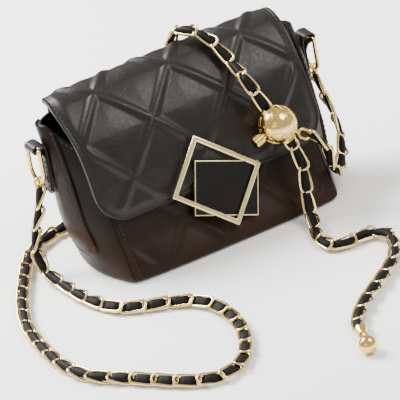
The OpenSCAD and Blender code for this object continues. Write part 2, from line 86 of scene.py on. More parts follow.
def makeCamera():
    azimuth, elevation = math.radians(cameraSet["azimuth"]), math.radians(cameraSet["elevation"])
    roll = math.radians(cameraSet["roll"])
    back = Vector((math.sin(azimuth) * math.cos(elevation), -math.cos(azimuth) * math.cos(elevation),
            math.sin(elevation)))
    right = Vector((math.cos(azimuth), math.sin(azimuth), 0))
    up = back.cross(right)
    columns = (right * math.cos(roll) - up * math.sin(roll), right * math.sin(roll) + up * math.cos(roll), back)
    data = bpy.data.cameras.new("camera")
    data.sensor_width = 36
    data.lens = 36 * cameraSet["distance"] / cameraSet["viewWidth"]
    data.clip_start, data.clip_end = 0.5, 40
    camera = bpy.data.objects.new("camera", data)
    camera.matrix_world = Matrix.Translation(Vector(cameraSet["aim"]) + back * cameraSet["distance"]) \
        @ Matrix(columns).transposed().to_4x4()
    scene.collection.objects.link(camera)
    scene.camera = camera


makeCamera()
print("camera set")


# ---- Materials
def startMaterial(name, **values):
    material = bpy.data.materials.new(name)
    material.use_nodes = True
    tree = material.node_tree
    shader = tree.nodes["Principled BSDF"]
    for key, value in values.items():
        shader.inputs[key.replace("_", " ")].default_value = value
    return material, tree, shader


def objectPoint(tree, scale=(1, 1, 1)):
    place = addNode(tree, "ShaderNodeTexCoord")
    return addNode(tree, "ShaderNodeMapping", inputs={"Vector": place.outputs["Object"], "Scale": scale}).outputs[0]


# Smooth calf, drum dyed and lightly finished: low sheen, fine pores, a little colour drift, and painted warm bounce
# light low down.
# Pores are 0.3 mm on the real hide and are drawn 1.1 mm wide so that they show.
leatherSet = {"drift": 45, "patch": 22, "pores": 900, "fine": 420, "creases": 85, "bounceHeight": 0.062,
        "poreDeep": 0.00012, "fineDeep": 0.00022, "creaseDeep": 0.0006}


def grainedLeather(name, dark, light, bounceTint, bounceShare, gloss, shine):
    material, tree, shader = startMaterial(name, IOR=1.5, Specular_IOR_Level=shine)
    point = objectPoint(tree)
    drift = addNode(tree, "ShaderNodeTexNoise", inputs={"Vector": point, "Scale": leatherSet["drift"], "Detail": 3})
    ramp = addNode(tree, "ShaderNodeMix", {"data_type": "RGBA"},
            {"Factor": drift.outputs["Fac"], 6: toLinear(dark), 7: toLinear(light)})
    height = addNode(tree, "ShaderNodeSeparateXYZ", inputs={"Vector": point})
    # Painted warm bounce light: a brown tint mixed in patchily, most at the base and gone by the height in leatherSet
    low = addNode(tree, "ShaderNodeMapRange", {"interpolation_type": "SMOOTHSTEP"},
            {"Value": height.outputs["Z"], "From Min": 0.0, "From Max": leatherSet["bounceHeight"],
                "To Min": bounceShare, "To Max": 0.0})
    patch = addNode(tree, "ShaderNodeTexNoise", inputs={"Vector": point, "Scale": leatherSet["patch"], "Detail": 2})
    amount = addNode(tree, "ShaderNodeMath", {"operation": "MULTIPLY"}, {0: low.outputs[0], 1: patch.outputs["Fac"]})
    tone = addNode(tree, "ShaderNodeMix", {"data_type": "RGBA"},
            {"Factor": amount.outputs[0], 6: ramp.outputs[2], 7: toLinear(bounceTint)})
    tree.links.new(tone.outputs[2], shader.inputs["Base Color"])
    pores = addNode(tree, "ShaderNodeTexVoronoi", {"feature": "DISTANCE_TO_EDGE"},
            {"Vector": point, "Scale": leatherSet["pores"]})
    fine = addNode(tree, "ShaderNodeTexNoise", inputs={
        "Vector": point, "Scale": leatherSet["fine"], "Detail": 5, "Roughness": 0.6})
    creases = addNode(tree, "ShaderNodeTexNoise", inputs={
        "Vector": point, "Scale": leatherSet["creases"], "Detail": 4, "Distortion": 1.2})
    rough = addNode(tree, "ShaderNodeMapRange", inputs={
        "Value": fine.outputs["Fac"], "From Min": 0.3, "From Max": 0.7, "To Min": gloss - 0.05, "To Max": gloss + 0.09})
    tree.links.new(rough.outputs[0], shader.inputs["Roughness"])
    first = addNode(tree, "ShaderNodeBump", inputs={
        "Strength": 0.35, "Distance": leatherSet["poreDeep"], "Height": pores.outputs["Distance"]})
    second = addNode(tree, "ShaderNodeBump", inputs={
        "Strength": 0.35, "Distance": leatherSet["fineDeep"], "Height": fine.outputs["Fac"],
        "Normal": first.outputs[0]})
    third = addNode(tree, "ShaderNodeBump", inputs={
        "Strength": 0.4, "Distance": leatherSet["creaseDeep"], "Height": creases.outputs["Fac"],
        "Normal": second.outputs[0]})
    tree.links.new(third.outputs[0], shader.inputs["Normal"])
    return material


def platedMetal(name, colour, deep, gloss, brush=(1, 1, 1), brushScale=260, brushDepth=0.00003):
    # Plated zinc alloy: bright where it was polished, with fine lines where it was brushed
    material, tree, shader = startMaterial(name, Metallic=1.0)
    point = objectPoint(tree, brush)
    cloud = addNode(tree, "ShaderNodeTexNoise", inputs={"Vector": objectPoint(tree), "Scale": 130, "Detail": 3})
    tone = addNode(tree, "ShaderNodeMix", {"data_type": "RGBA"},
            {"Factor": cloud.outputs["Fac"], 6: toLinear(colour), 7: toLinear(deep)})
    tree.links.new(tone.outputs[2], shader.inputs["Base Color"])
    lines = addNode(tree, "ShaderNodeTexNoise", inputs={"Vector": point, "Scale": brushScale, "Detail": 4})
    rough = addNode(tree, "ShaderNodeMapRange", inputs={
        "Value": lines.outputs["Fac"], "From Min": 0.3, "From Max": 0.7,
        "To Min": gloss - 0.05, "To Max": gloss + 0.06})
    tree.links.new(rough.outputs[0], shader.inputs["Roughness"])
    bump = addNode(tree, "ShaderNodeBump", inputs={"Strength": 0.3, "Distance": brushDepth,
            "Height": lines.outputs["Fac"]})
    tree.links.new(bump.outputs[0], shader.inputs["Normal"])
    return material


def patterned(name, dark, light, pattern, props, settings, relief, **values):
    # Two tones and a low relief, strength and depth, that follow one pattern
    material, tree, shader = startMaterial(name, **values)
    cloud = addNode(tree, pattern, props, {"Vector": objectPoint(tree), **settings})
    tone = addNode(tree, "ShaderNodeMix", {"data_type": "RGBA"},
            {"Factor": cloud.outputs["Fac"], 6: toLinear(dark), 7: toLinear(light)})
    tree.links.new(tone.outputs[2], shader.inputs["Base Color"])
    bump = addNode(tree, "ShaderNodeBump", inputs={
        "Strength": relief[0], "Distance": relief[1], "Height": cloud.outputs["Fac"]})
    tree.links.new(bump.outputs[0], shader.inputs["Normal"])
    return material


def mottled(name, dark, light, scale, depth, **values):
    return patterned(name, dark, light, "ShaderNodeTexNoise", {}, {"Scale": scale, "Detail": 4}, (0.3, depth), **values)


# Three copies of the calf: the flap's, the walls' with painted shade (darker, warmer) and less shine, the browner
# trim's
calfBlack = grainedLeather("calfBlack", "#0f0d0b", "#1a1613", "#3f2410", 0.5, 0.37, 0.3)
calfPaintedShade = grainedLeather("calfPaintedShade", "#0d0b09", "#16110d", "#3b2110", 0.7, 0.42, 0.16)
calfBrownBlack = grainedLeather("calfBrownBlack", "#140e09", "#20140c", "#4c2b14", 0.9, 0.4, 0.16)
# Dyed leather cord: nearly black, with a dull surface
laceLeather = mottled("laceLeather", "#050404", "#0c0a0a", 500, 0.0002, Roughness=0.62, Specular_IOR_Level=0.14)
# Paint that seals the cut edges of leather: a smooth line, drawn pale as a painted highlight along the edge
edgePaintHighlight = mottled("edgePaintHighlight", "#4c423c", "#6b605a", 300, 0.0001, Roughness=0.4)
# Plated zinc alloy: polished on the fittings and the links, brushed on the ornament
polishedGold = platedMetal("polishedGold", "#f3d88a", "#dcae55", 0.12)
chainGold = platedMetal("chainGold", "#f4dfa0", "#cfa95c", 0.16)
brushedPaleGold = platedMetal("brushedPaleGold", "#efe2ac", "#dccb8c", 0.24, (0.3, 1, 1), 700, 0.000012)
# Baked enamel: deep black with clear reflections
blackEnamel = mottled("blackEnamel", "#080707", "#0f0e0e", 60, 0.00003, Roughness=0.2, Specular_IOR_Level=0.3)
# Bonded polyester thread: dark, slightly rough
sewingThread = mottled("sewingThread", "#060505", "#12100f", 2500, 0.0001, Roughness=0.7)
# Polyester twill: diagonal ribs 1.2 mm apart, matt
twillPitch = 0.0012
liningTwill = patterned("liningTwill", "#241f1d", "#3a322e", "ShaderNodeTexWave", {"bands_direction": "DIAGONAL"},
        {"Scale": 0.3 / twillPitch, "Distortion": 0.6, "Detail": 1}, (0.5, 0.0002), Roughness=0.85)
# Pressed fibre board: dry and speckled
stiffBoard = mottled("stiffBoard", "#5f5142", "#7a6a58", 700, 0.0001, Roughness=0.9)
# Drawn spring steel: grey, with a soft shine
springWire = platedMetal("springWire", "#b9bbbd", "#8f9294", 0.25)
finishOf = {"black_leather": calfBlack, "brown_black_leather": calfBrownBlack, "lining_cloth": liningTwill,
        "board": stiffBoard, "gold_metal": polishedGold, "pale_gold_metal": brushedPaleGold,
        "black_enamel": blackEnamel, "spring_steel": springWire, "woven_chain": chainGold}
for name, part in nodes.items():
    part.data.materials.clear()
    part.data.materials.append(finishOf[slotOf[name]])
print("materials made")


# ---- Shape helpers
def smoothLine(points, steps):
    p = np.array(points, float)
    last = len(p) - 1
    out = []
    for i in range(last):
        a, b, c, d = p[max(i - 1, 0)], p[i], p[i + 1], p[min(i + 2, last)]
        for t in np.arange(steps) / steps:
            out.append(0.5 * (2 * b + (c - a) * t + (2 * a - 5 * b + 4 * c - d) * t * t
                    + (3 * b - a - 3 * c + d) * t ** 3))
    return np.array(out + [p[last]])


def lengthsAlong(points):
    return np.r_[0, np.cumsum(np.linalg.norm(np.diff(points, axis=0), axis=1))]


def carried(values, along, at):  # values known at places along a line, read at other places
    return np.stack([np.interp(at, along, values[:, k]) for k in range(values.shape[1])], -1)


def sampled(points, at):
    return carried(points, lengthsAlong(points), at)


def evenly(points, spacing):
    total = lengthsAlong(points)[-1]
    return sampled(points, np.linspace(0, total, max(2, int(round(total / spacing)) + 1)))


def unit(v):
    return v / np.maximum(np.linalg.norm(v, axis=-1, keepdims=True), 1e-12)


def ease(x, low, high):
    t = np.clip((x - low) / (high - low), 0, 1)
    return t * t * (3 - 2 * t)


def dome(t):  # a quarter circle's height, 0 at an edge and 1 from t = 1 on
    return np.sqrt(1 - (1 - np.clip(t, 0, 1)) ** 2)


def groove(distance, at, width, depth):
    return depth * np.exp(-((distance - at) / width) ** 2)


def leftSide(line):  # outward normals of a [y, z] line that climbs the front
    d = unit(np.gradient(line, axis=0))
    return np.column_stack([-d[:, 1], d[:, 0]])


def swept(x, line, out, depth):  # a sheet off a [y, z] line and its normals: one row of x for each point
    depth = depth + 0 * x
    return np.stack([x, line[:, :1] + out[:, :1] * depth, line[:, 1:] + out[:, 1:] * depth], -1)


def linkObject(name, mesh):
    piece = bpy.data.objects.new(name, mesh)
    scene.collection.objects.link(piece)
    return piece


def makeMesh(name, points, faces, materials, indices=None, sharp=60):
    mesh = bpy.data.meshes.new(name)
    mesh.from_pydata((np.asarray(points) * mm).tolist(), [], [list(map(int, f)) for f in faces])
    for material in materials:
        mesh.materials.append(material)
    if indices is not None:
        mesh.polygons.foreach_set("material_index", np.asarray(indices, np.int32))
    work = bmesh.new()
    work.from_mesh(mesh)
    bmesh.ops.recalc_face_normals(work, faces=work.faces)
    work.to_mesh(mesh)
    work.free()
    mesh.shade_smooth()
    mesh.set_sharp_from_angle(angle=math.radians(sharp))
    mesh.update()
    return linkObject(name, mesh)


def shell(name, outer, inner, materials, wallIndex=0):
    rows, cols = outer.shape[:2]
    index = np.arange(rows * cols).reshape(rows, cols)
    a, b, c, d = (part.ravel() for part in (index[:-1, :-1], index[:-1, 1:], index[1:, 1:], index[1:, :-1]))
    ring = np.concatenate([index[0, :], index[1:, -1], index[-1, -2::-1], index[-2:0:-1, 0]])
    after = np.roll(ring, -1)
    count = rows * cols
    faces = np.concatenate([np.column_stack([a, b, c, d]), np.column_stack([a, d, c, b]) + count,
            np.column_stack([after, ring, ring + count, after + count])])
    indices = np.zeros(len(faces), int)
    indices[-len(ring):] = wallIndex
    points = np.concatenate([outer.reshape(-1, 3), inner.reshape(-1, 3)])
    return makeMesh(name, points, faces, materials, indices)


def tubeFaces(rows, cols, start=0):
    index = np.arange(rows * cols).reshape(rows, cols) + start
    right = np.roll(index, -1, axis=1)
    sides = np.column_stack([index[:-1].ravel(), right[:-1].ravel(), right[1:].ravel(), index[1:].ravel()])
    return sides.tolist() + [index[0, ::-1].tolist(), index[-1].tolist()]


def roundTube(path, radius, cols, start=0):
    tangent = unit(np.gradient(path, axis=0))
    side = unit(np.cross(tangent, [0.31, 0.17, 0.93]))
    other = np.cross(tangent, side)
    turn = 2 * np.pi * np.arange(cols) / cols
    rings = path[:, None] + radius * (np.cos(turn)[None, :, None] * side[:, None]
            + np.sin(turn)[None, :, None] * other[:, None])
    return rings.reshape(-1, 3), tubeFaces(len(path), cols, start)


def startTree(name, sizes):
    tree = bpy.data.node_groups.new(name, "GeometryNodeTree")
    tree.interface.new_socket("Geometry", in_out="INPUT", socket_type="NodeSocketGeometry")
    for key, value in sizes.items():
        tree.interface.new_socket(key, in_out="INPUT", socket_type="NodeSocketFloat").default_value = value
    tree.interface.new_socket("Geometry", in_out="OUTPUT", socket_type="NodeSocketGeometry")
    return tree, addNode(tree, "NodeGroupInput")


def placeAlong(tree, source, shape):
    # Puts one shape at every point, with X along the path and Z out of the surface
    along = addNode(tree, "GeometryNodeInputNamedAttribute", {"data_type": "FLOAT_VECTOR"}, {"Name": "along"})
    out = addNode(tree, "GeometryNodeInputNamedAttribute", {"data_type": "FLOAT_VECTOR"}, {"Name": "out"})
    turn = addNode(tree, "FunctionNodeAxesToRotation", {"primary_axis": "X", "secondary_axis": "Z"},
            {"Primary Axis": along.outputs["Attribute"], "Secondary Axis": out.outputs["Attribute"]})
    placed = addNode(tree, "GeometryNodeInstanceOnPoints", inputs={
        "Points": source, "Instance": shape, "Rotation": turn.outputs["Rotation"]})
    real = addNode(tree, "GeometryNodeRealizeInstances", inputs={"Geometry": placed.outputs["Instances"]})
    addNode(tree, "NodeGroupOutput", inputs={"Geometry": real.outputs[0]})


def shareAlong(tree, length):
    # Where a point of a shape is, and its X as a share of the length, from -0.5 to 0.5
    place = addNode(tree, "GeometryNodeInputPosition")
    axes = addNode(tree, "ShaderNodeSeparateXYZ", inputs={"Vector": place.outputs[0]})
    share = addNode(tree, "ShaderNodeMath", {"operation": "DIVIDE"}, {0: axes.outputs["X"], 1: length})
    return place.outputs[0], share.outputs[0]


def grow(name, tree, sizes, points, along, out, material):
    # Runs a tree on points with directions, and keeps the result as a plain mesh
    mesh = bpy.data.meshes.new(name + "Points")
    mesh.from_pydata((np.asarray(points) * mm).tolist(), [], [])
    for key, values in (("along", along), ("out", out)):
        layer = mesh.attributes.new(key, "FLOAT_VECTOR", "POINT")
        layer.data.foreach_set("vector", np.asarray(values, np.float32).ravel())
    holder = linkObject(name, mesh)
    modifier = holder.modifiers.new("tree", "NODES")
    modifier.node_group = tree
    for item in tree.interface.items_tree:
        if item.in_out == "INPUT" and item.name in sizes:
            modifier[item.identifier] = float(sizes[item.name])
    graph = bpy.context.evaluated_depsgraph_get()
    result = bpy.data.meshes.new_from_object(holder.evaluated_get(graph), depsgraph=graph)
    holder.modifiers.clear()
    holder.data = result
    result.materials.clear()
    result.materials.append(material)
    result.polygons.foreach_set("material_index", np.zeros(len(result.polygons), np.int32))
    result.shade_smooth()
    for key in ("along", "out"):
        if key in result.attributes:
            result.attributes.remove(result.attributes[key])
    return holder


# ---- The strap: flat oval links that twist where it curls, with a lace woven through
strapSet = {"pitch": 16.6, "width": 10.2, "wire": 1.1, "overlap": 2.4, "corner": 0.42, "flatTwist": 0,
        "curlTwist": 62, "floorDrop": -0.1, "diameter": 9.5,
        "longCurl": ((0, 1), (6, 1), (8, 0), (18, 0), (20, 1), (29, 1), (31, 0.3), (33, 1), (68, 1)),
        "sideCurl": ((0, 1), (9, 1))}
laceSet = {"width": 7.2, "flat": 2.2, "round": 4.6, "dip": 2.6, "lift": 0.1, "sides": 10, "pinch": 0.12,
        "curlPinch": 0.25, "press": 0.35, "squareWide": 0.55, "squareThick": 0.8}
linkSteps = 14  # points along one link, and between two points of a route
ballFrame = {"centre": (51, -36, 72), "lean": -22, "roll": -17, "side": 146}


def ballMatrix():
    return (Matrix.Translation(Vector(ballFrame["centre"])) @ Matrix.Rotation(math.radians(ballFrame["lean"]), 4, "X")
            @ Matrix.Rotation(math.radians(ballFrame["roll"]), 4, "Y"))


def fromBall(x, y, z):
    return tuple(ballMatrix() @ Vector((x, y, z)))


def sidePoint(r):
    turn = math.radians(ballFrame["side"])
    return fromBall(r * math.sin(turn), 0, r * math.cos(turn))


floorZ = 5 - strapSet["floorDrop"]
ringX = 113.7
up, front, left, right, back = (-0.3, -0.5, 0.82), (0, -0.93, 0.37), (-1, 0, 0), (1, 0, 0), (0, 1, 0)


def onFloor(*places):
    return [((x, y, floorZ), up) for x, y in places]


longRoute = [  # point, and the way the links' flat side faces
    ((-ringX, 21, 67.3), left), ((-118, 22, 48), left), ((-122.5, 23, 34), (-1, 0, 0.2)),
    ((-127, 19, 20), (-1, 0.1, 0.8)), ((-127, 6, 8), up),
    *onFloor((-125, -12), (-124, -34), (-120, -55), (-111, -73), (-94, -85), (-76, -95), (-63, -112), (-60, -136),
        (-64, -161), (-74, -184), (-88.5, -202.5), (-110.5, -209.4), (-129.5, -197.4), (-145.5, -178.4),
        (-161, -159), (-175, -141), (-181, -117), (-181, -92), (-178, -67), (-172, -42), (-161, -17), (-147, 7),
        (-132, 30), (-115, 49), (-95, 59), (-73, 62), (-50, 61), (-28, 59), (-6, 57)),
    ((9, 54, 7), (-0.2, 0.5, 1)), ((17, 50, 20), (-0.3, 1, 0.2)), ((18, 48, 42), back), ((18, 47.5, 64), back),
    ((18, 47.5, 86), back), ((18, 48, 106), back), ((18.5, 48, 116), back), ((20, 45, 126), (0, 0.8, 0.6)),
    ((23, 38, 132), (0, 0.4, 1)), ((28, 29, 133), up), ((33, 19, 130), (0, -0.4, 1)), ((37, 9, 123), (0, -0.6, 1)),
    ((40, -4, 113), (0, -0.8, 0.8)), *[(fromBall(0, 0, high), front) for high in (40, 30, 10, -10, -19, -25)],
    ((58.5, -49, 38), front), ((57, -51, 26), (0, -1, 0.4)), ((54, -56, 12), (0, -0.7, 0.8)),
    *onFloor((49.5, -70), (42, -88), (41, -104), (52, -111), (67, -110), (78, -117), (78.5, -131), (68, -151),
        (51, -167), (33, -181), (15.5, -195)),
    ((0, -212, 4.2), up), ((-5, -226, 5), up)]
sideRoute = [
    ((ringX, 21, 67.3), right), ((117, 15, 48), right), ((116, 3, 35), (1, 0, 0.3)), ((110, -12, 25), (0.8, -0.3, 0.6)),
    ((100, -27, 19), (0.5, -0.4, 0.8)), ((89, -39, 20), (0.4, -0.2, 0.9)), ((83, -45, 31), (0.6, 0.1, 0.5)),
    ((81.5, -45.5, 42), (0.63, 0.29, 0.4)), (sidePoint(33.5), (0.63, 0.29, 0.72)),
    (sidePoint(24.9), (0.63, 0.29, 0.72))]


def linkTree():
    sizes = {"Link length": 0.02, "Link width": 0.0085, "Wire": 0.001, "Twist": 1.0}
    tree, source = startTree("ovalLink", sizes)
    outline = addNode(tree, "GeometryNodeCurvePrimitiveQuadrilateral", inputs={
        "Width": source.outputs["Link length"], "Height": source.outputs["Link width"]})
    radius = addNode(tree, "ShaderNodeMath", {"operation": "MULTIPLY"}, {
        0: source.outputs["Link width"], 1: strapSet["corner"]})
    bent = addNode(tree, "GeometryNodeFilletCurve", {"mode": "POLY"}, {
        "Curve": outline.outputs[0], "Count": 5, "Radius": radius.outputs[0]})
    fine = addNode(tree, "GeometryNodeResampleCurve", {"mode": "LENGTH"}, {"Curve": bent.outputs[0], "Length": 0.0012})
    ring = addNode(tree, "GeometryNodeCurvePrimitiveCircle", inputs={"Resolution": 8, "Radius": source.outputs["Wire"]})
    bar = addNode(tree, "GeometryNodeCurveToMesh", inputs={"Curve": fine.outputs[0], "Profile Curve": ring.outputs[0]})
    place, share = shareAlong(tree, source.outputs["Link length"])
    angle = addNode(tree, "ShaderNodeMath", {"operation": "MULTIPLY"}, {0: share, 1: source.outputs["Twist"]})
    turned = addNode(tree, "ShaderNodeVectorRotate", {"rotation_type": "X_AXIS"}, {
        "Vector": place, "Angle": angle.outputs[0]})
    twisted = addNode(tree, "GeometryNodeSetPosition", inputs={
        "Geometry": bar.outputs[0], "Position": turned.outputs[0]})
    placeAlong(tree, source.outputs["Geometry"], twisted.outputs[0])
    return tree


ovalLink = linkTree()


def laceRings(centre, out, across, bars, curl):
    # Rings round the lace: pressed where the links' ends cross it, and rounder where it curls
    wave = laceSet["lift"] - laceSet["dip"] * bars * (1 - curl)
    bulge = (1 - laceSet["pinch"] * bars) * (1 - laceSet["curlPinch"] * curl)
    press = (1 - laceSet["press"] * bars) * (laceSet["flat"] * (1 - curl) + laceSet["round"] * curl)
    turn = 2 * np.pi * (np.arange(laceSet["sides"]) + 0.5) / laceSet["sides"]
    wide = np.sign(np.cos(turn)) * np.abs(np.cos(turn)) ** laceSet["squareWide"] * laceSet["width"] / 2
    thick = np.sign(np.sin(turn)) * np.abs(np.sin(turn)) ** laceSet["squareThick"] / 2
    return (centre + out * wave[:, None])[:, None] + across[:, None] * (wide[None, :, None] * bulge[:, None, None]) \
        + out[:, None] * (thick[None, :, None] * press[:, None, None])


def layStrap(route, curls, splits, names):
    # One run of links and lace per piece; splits are route indices, first and last included
    n, half = linkSteps, linkSteps // 2
    path = smoothLine([p for p, _ in route], n)
    facing = smoothLine([unit(np.array(f, float)) for _, f in route], n)
    along = lengthsAlong(path)
    total = along[-1]
    count = int(round(total / strapSet["pitch"]))
    pitch = total / count
    fine = np.linspace(0, total, count * n + 1)
    centre, face = sampled(path, fine), carried(facing, along, fine)
    tangent = unit(np.gradient(centre, axis=0))
    out = unit(face - (face * tangent).sum(1, keepdims=True) * tangent)
    across = np.cross(out, tangent)
    curl = np.interp(fine, [along[i * n] for i, _ in curls], [amount for _, amount in curls])  # 0 flat, 1 twisted
    bars = (0.5 + 0.5 * np.cos(2 * np.pi * fine / pitch)) ** 3  # 1 where the links' ends cross the lace
    edges = [round(along[i * n] / pitch) * pitch for i in splits]  # pieces part where two links meet
    pieces = []
    for low, high, name in zip(edges[:-1], edges[1:], names):
        first, last = int(round(low / total * count * n)), int(round(high / total * count * n))
        rows = np.array([i * n + half for i in range(count) if low < (i + 0.5) * pitch < high], int)
        heads, tails = centre[np.minimum(rows + half, len(centre) - 1)], centre[rows - half]
        ahead = unit(heads - tails) + out[rows] * 2 * strapSet["wire"] / pitch  # each end lies over the next link
        middle = (heads + tails) / 2 * 0.5 + centre[rows] * 0.5
        span = slice(first, last + 1)
        rings = laceRings(centre[span], out[span], across[span], bars[span], curl[span])
        points, faces = rings.reshape(-1, 3), tubeFaces(last - first + 1, laceSet["sides"])
        laceCount = len(faces)
        for twist, chosen in ((strapSet["flatTwist"], curl[rows] < 0.5), (strapSet["curlTwist"], curl[rows] >= 0.5)):
            if not chosen.any():
                continue
            links = grow(name + "Links", ovalLink, {
                "Link length": (pitch + strapSet["overlap"]) * mm, "Twist": math.radians(twist),
                "Link width": (strapSet["width"] - 2 * strapSet["wire"]) * mm,
                "Wire": strapSet["wire"] * mm}, middle[chosen], ahead[chosen], out[rows][chosen], chainGold)
            linkPoints = np.empty(len(links.data.vertices) * 3)
            links.data.vertices.foreach_get("co", linkPoints)
            faces += [[v + len(points) for v in face.vertices] for face in links.data.polygons]
            points = np.concatenate([points, linkPoints.reshape(-1, 3) / mm])
            bpy.data.objects.remove(links)
        strand = makeMesh(name, points, faces, [laceLeather, chainGold],
                [0] * laceCount + [1] * (len(faces) - laceCount), 50)
        line = [tuple(p * mm) for p in centre[first:last + 1:half]]
        pieces.append((strand, line, (fine[last] - fine[first]) * mm))
        print("strap", name, "length", round(pieces[-1][2], 4), "m")
    return pieces


floorRun, backRun, tailRun = layStrap(longRoute, strapSet["longCurl"], [0, 33, 51, 68],
        ["strapFloorRun", "strapBackRun", "strapTail"])
slackTop, slack, slackEnd = layStrap(sideRoute, strapSet["sideCurl"], [0, 1, 7, 9],
        ["strapSideTop", "strapSideSlack", "strapSideEnd"])
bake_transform(floorRun[0])
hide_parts("strap_left_drop", "strap_floor_loop")
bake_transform(backRun[0])
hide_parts("strap_back_run", "strap_over_ridge", "strap_front")
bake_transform(tailRun[0])
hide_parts("strap_tail_drop", "strap_tail_floor")
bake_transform(slackTop[0])
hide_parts("strap_right_drop")
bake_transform(slack[0])
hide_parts("strap_right_rise")
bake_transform(slackEnd[0])
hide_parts("strap_right_end")
print("strap laid")


# ---- The front's profile, from the base up and over the top to the fold: shares of depth and height
bodySet = {"depth": 84, "height": 115, "halfWidth": 84, "wall": 4, "bulge": 19, "bulgeLow": 0.62, "bulgeFull": 0.4,
        "baseRound": 4.5, "roundX": (66, 84), "roundY": (22, 40),
        "belly": 5, "bellyDepth": 34, "bellyHeight": (2, 27), "bellyHalf": 92}
frontShape = [(1, 0.03), (0.93, 0.16), (0.845, 0.27), (0.778, 0.385), (0.728, 0.485), (0.675, 0.59), (0.605, 0.72),
        (0.51, 0.835), (0.385, 0.935), (0.255, 1.005), (0.165, 1.033), (0.083, 1.039)]
backY = bodySet["depth"] / 2
frontLine = evenly(smoothLine([(backY - a * bodySet["depth"], b * bodySet["height"]) for a, b in frontShape], 12), 0.8)


def roundBase(points):  # draws every wall in towards the base, so that the bag stands on soft edges
    x, y, z = points[..., 0], points[..., 1], points[..., 2]
    r = bodySet["baseRound"]
    inward = r - np.sqrt(r * r - (r - np.clip(z, 0, r)) ** 2)
    x = x - np.sign(x) * inward * ease(np.abs(x), *bodySet["roundX"])
    y = y - np.sign(y) * inward * ease(np.abs(y), *bodySet["roundY"])
    y = y - bodySet["belly"] * ease(-y, 0, bodySet["bellyDepth"]) * (1 - ease(z, *bodySet["bellyHeight"])) \
        * np.maximum(1 - (x / bodySet["bellyHalf"]) ** 4, 0)
    return np.stack([x, y, z], -1)


# ---- Quilting: soft raised welts in diamonds; rows are counted down the flap from the top
quiltSet = {"across": 60, "row": 34.2, "spacing": 45.1, "weltHalf": 5.0, "weltHigh": 1.5, "crease": 0.06,
        "creaseOut": 0.3, "creaseWide": 1.1, "puff": 1.0, "puffWide": 9}


def quilt(x, row, scale=1.0):
    a, b = x / quiltSet["across"] + row / 2, x / quiltSet["across"] - row / 2
    d = np.minimum(np.abs(a - np.round(a)), np.abs(b - np.round(b))) * quiltSet["spacing"]
    welt = np.where(d < quiltSet["weltHalf"], np.cos(np.pi / 2 * d / quiltSet["weltHalf"]) ** 2, 0)
    crease = np.exp(-((d - quiltSet["weltHalf"] - quiltSet["creaseOut"]) / quiltSet["creaseWide"]) ** 2)
    puff = 1 - np.exp(-(np.maximum(d - quiltSet["weltHalf"], 0) / quiltSet["puffWide"]) ** 2)
    return scale * (quiltSet["weltHigh"] * welt - quiltSet["crease"] * crease + quiltSet["puff"] * puff)


def softNoise(points, size, depth):
    flat = points.reshape(-1, 3)
    values = np.array([noise.noise(Vector(p) / size) for p in flat]) * depth
    return values.reshape(points.shape[:-1])


stitchSet = {"pitch": 3.9, "length": 2.6, "thread": 0.55, "bow": -0.0028}


def stitchTree():
    tree, source = startTree("threadStitch", {"Stitch length": 0.003, "Thread": 0.0004})
    line = addNode(tree, "GeometryNodeCurvePrimitiveLine", inputs={"Start": (-0.5, 0, 0), "End": (0.5, 0, 0)})
    fine = addNode(tree, "GeometryNodeResampleCurve", inputs={"Curve": line.outputs[0], "Count": 5})
    size = addNode(tree, "ShaderNodeCombineXYZ", inputs={"X": source.outputs["Stitch length"], "Y": 1.0, "Z": 1.0})
    sized = addNode(tree, "GeometryNodeTransform", inputs={"Geometry": fine.outputs[0], "Scale": size.outputs[0]})
    _, half = shareAlong(tree, source.outputs["Stitch length"])
    square = addNode(tree, "ShaderNodeMath", {"operation": "MULTIPLY"}, {0: half, 1: half})
    sink = addNode(tree, "ShaderNodeMath", {"operation": "MULTIPLY"}, {0: square.outputs[0], 1: stitchSet["bow"]})
    drop = addNode(tree, "ShaderNodeCombineXYZ", inputs={"Z": sink.outputs[0]})
    bowed = addNode(tree, "GeometryNodeSetPosition", inputs={"Geometry": sized.outputs[0], "Offset": drop.outputs[0]})
    ring = addNode(tree, "GeometryNodeCurvePrimitiveCircle", inputs={
        "Resolution": 6, "Radius": source.outputs["Thread"]})
    thread = addNode(tree, "GeometryNodeCurveToMesh", inputs={
        "Curve": bowed.outputs[0], "Profile Curve": ring.outputs[0], "Fill Caps": True})
    placeAlong(tree, source.outputs["Geometry"], thread.outputs[0])
    return tree


threadStitch = stitchTree()


def sewRow(line, normals):
    # Stitch places along a line on a surface: middles, directions, and ways out
    total = lengthsAlong(line)[-1]
    at = (np.arange(int(total / stitchSet["pitch"])) + 0.5) * stitchSet["pitch"]
    ahead = unit(sampled(line, np.minimum(at + 1, total)) - sampled(line, np.maximum(at - 1, 0)))
    return sampled(line, at), ahead, unit(carried(normals, lengthsAlong(line), at))


def sew(name, rows):
    places, ahead, out = (np.concatenate([row[k] for row in rows]) for k in range(3))
    return grow(name, threadStitch, {"Stitch length": stitchSet["length"] * mm, "Thread": stitchSet["thread"] * mm},
            places, ahead, out, sewingThread)


# ---- Flap: one quilted sheet from its lower edge up, over the fold and a little way down the back
flapSet = {"half": 92, "corner": 22, "low": 43, "lift": 5.0, "under": 2.7, "underBack": 1.3, "edgeLow": 0.8,
        "seam": 2.9, "seamWide": 0.55, "seamDeep": 0.4, "rimDrop": 0.8, "backSoft": 0.55, "backNarrow": 7,
        "ridgeWide": 2.2, "backSeam": 3, "step": 0.8, "columns": 190,
        "rim": (0, 0.15, 0.4, 0.8, 1.4, 2.0, 2.5, 2.9, 3.3, 3.9)}
raised = frontLine + leftSide(frontLine) * flapSet["lift"]
flapPath = np.concatenate([raised[raised[:, 1] > flapSet["low"]], smoothLine(
    [(36.2, 124.45), (39.2, 123.2), (41.5, 120.3), (42.9, 116.3), (43.5, 111), (43.5, 104), (43.5, 97)], 6)])
flapPath = evenly(flapPath, flapSet["step"])
flapAlong = lengthsAlong(flapPath)
flapOut = leftSide(flapPath)
flapLong = flapAlong[-1]
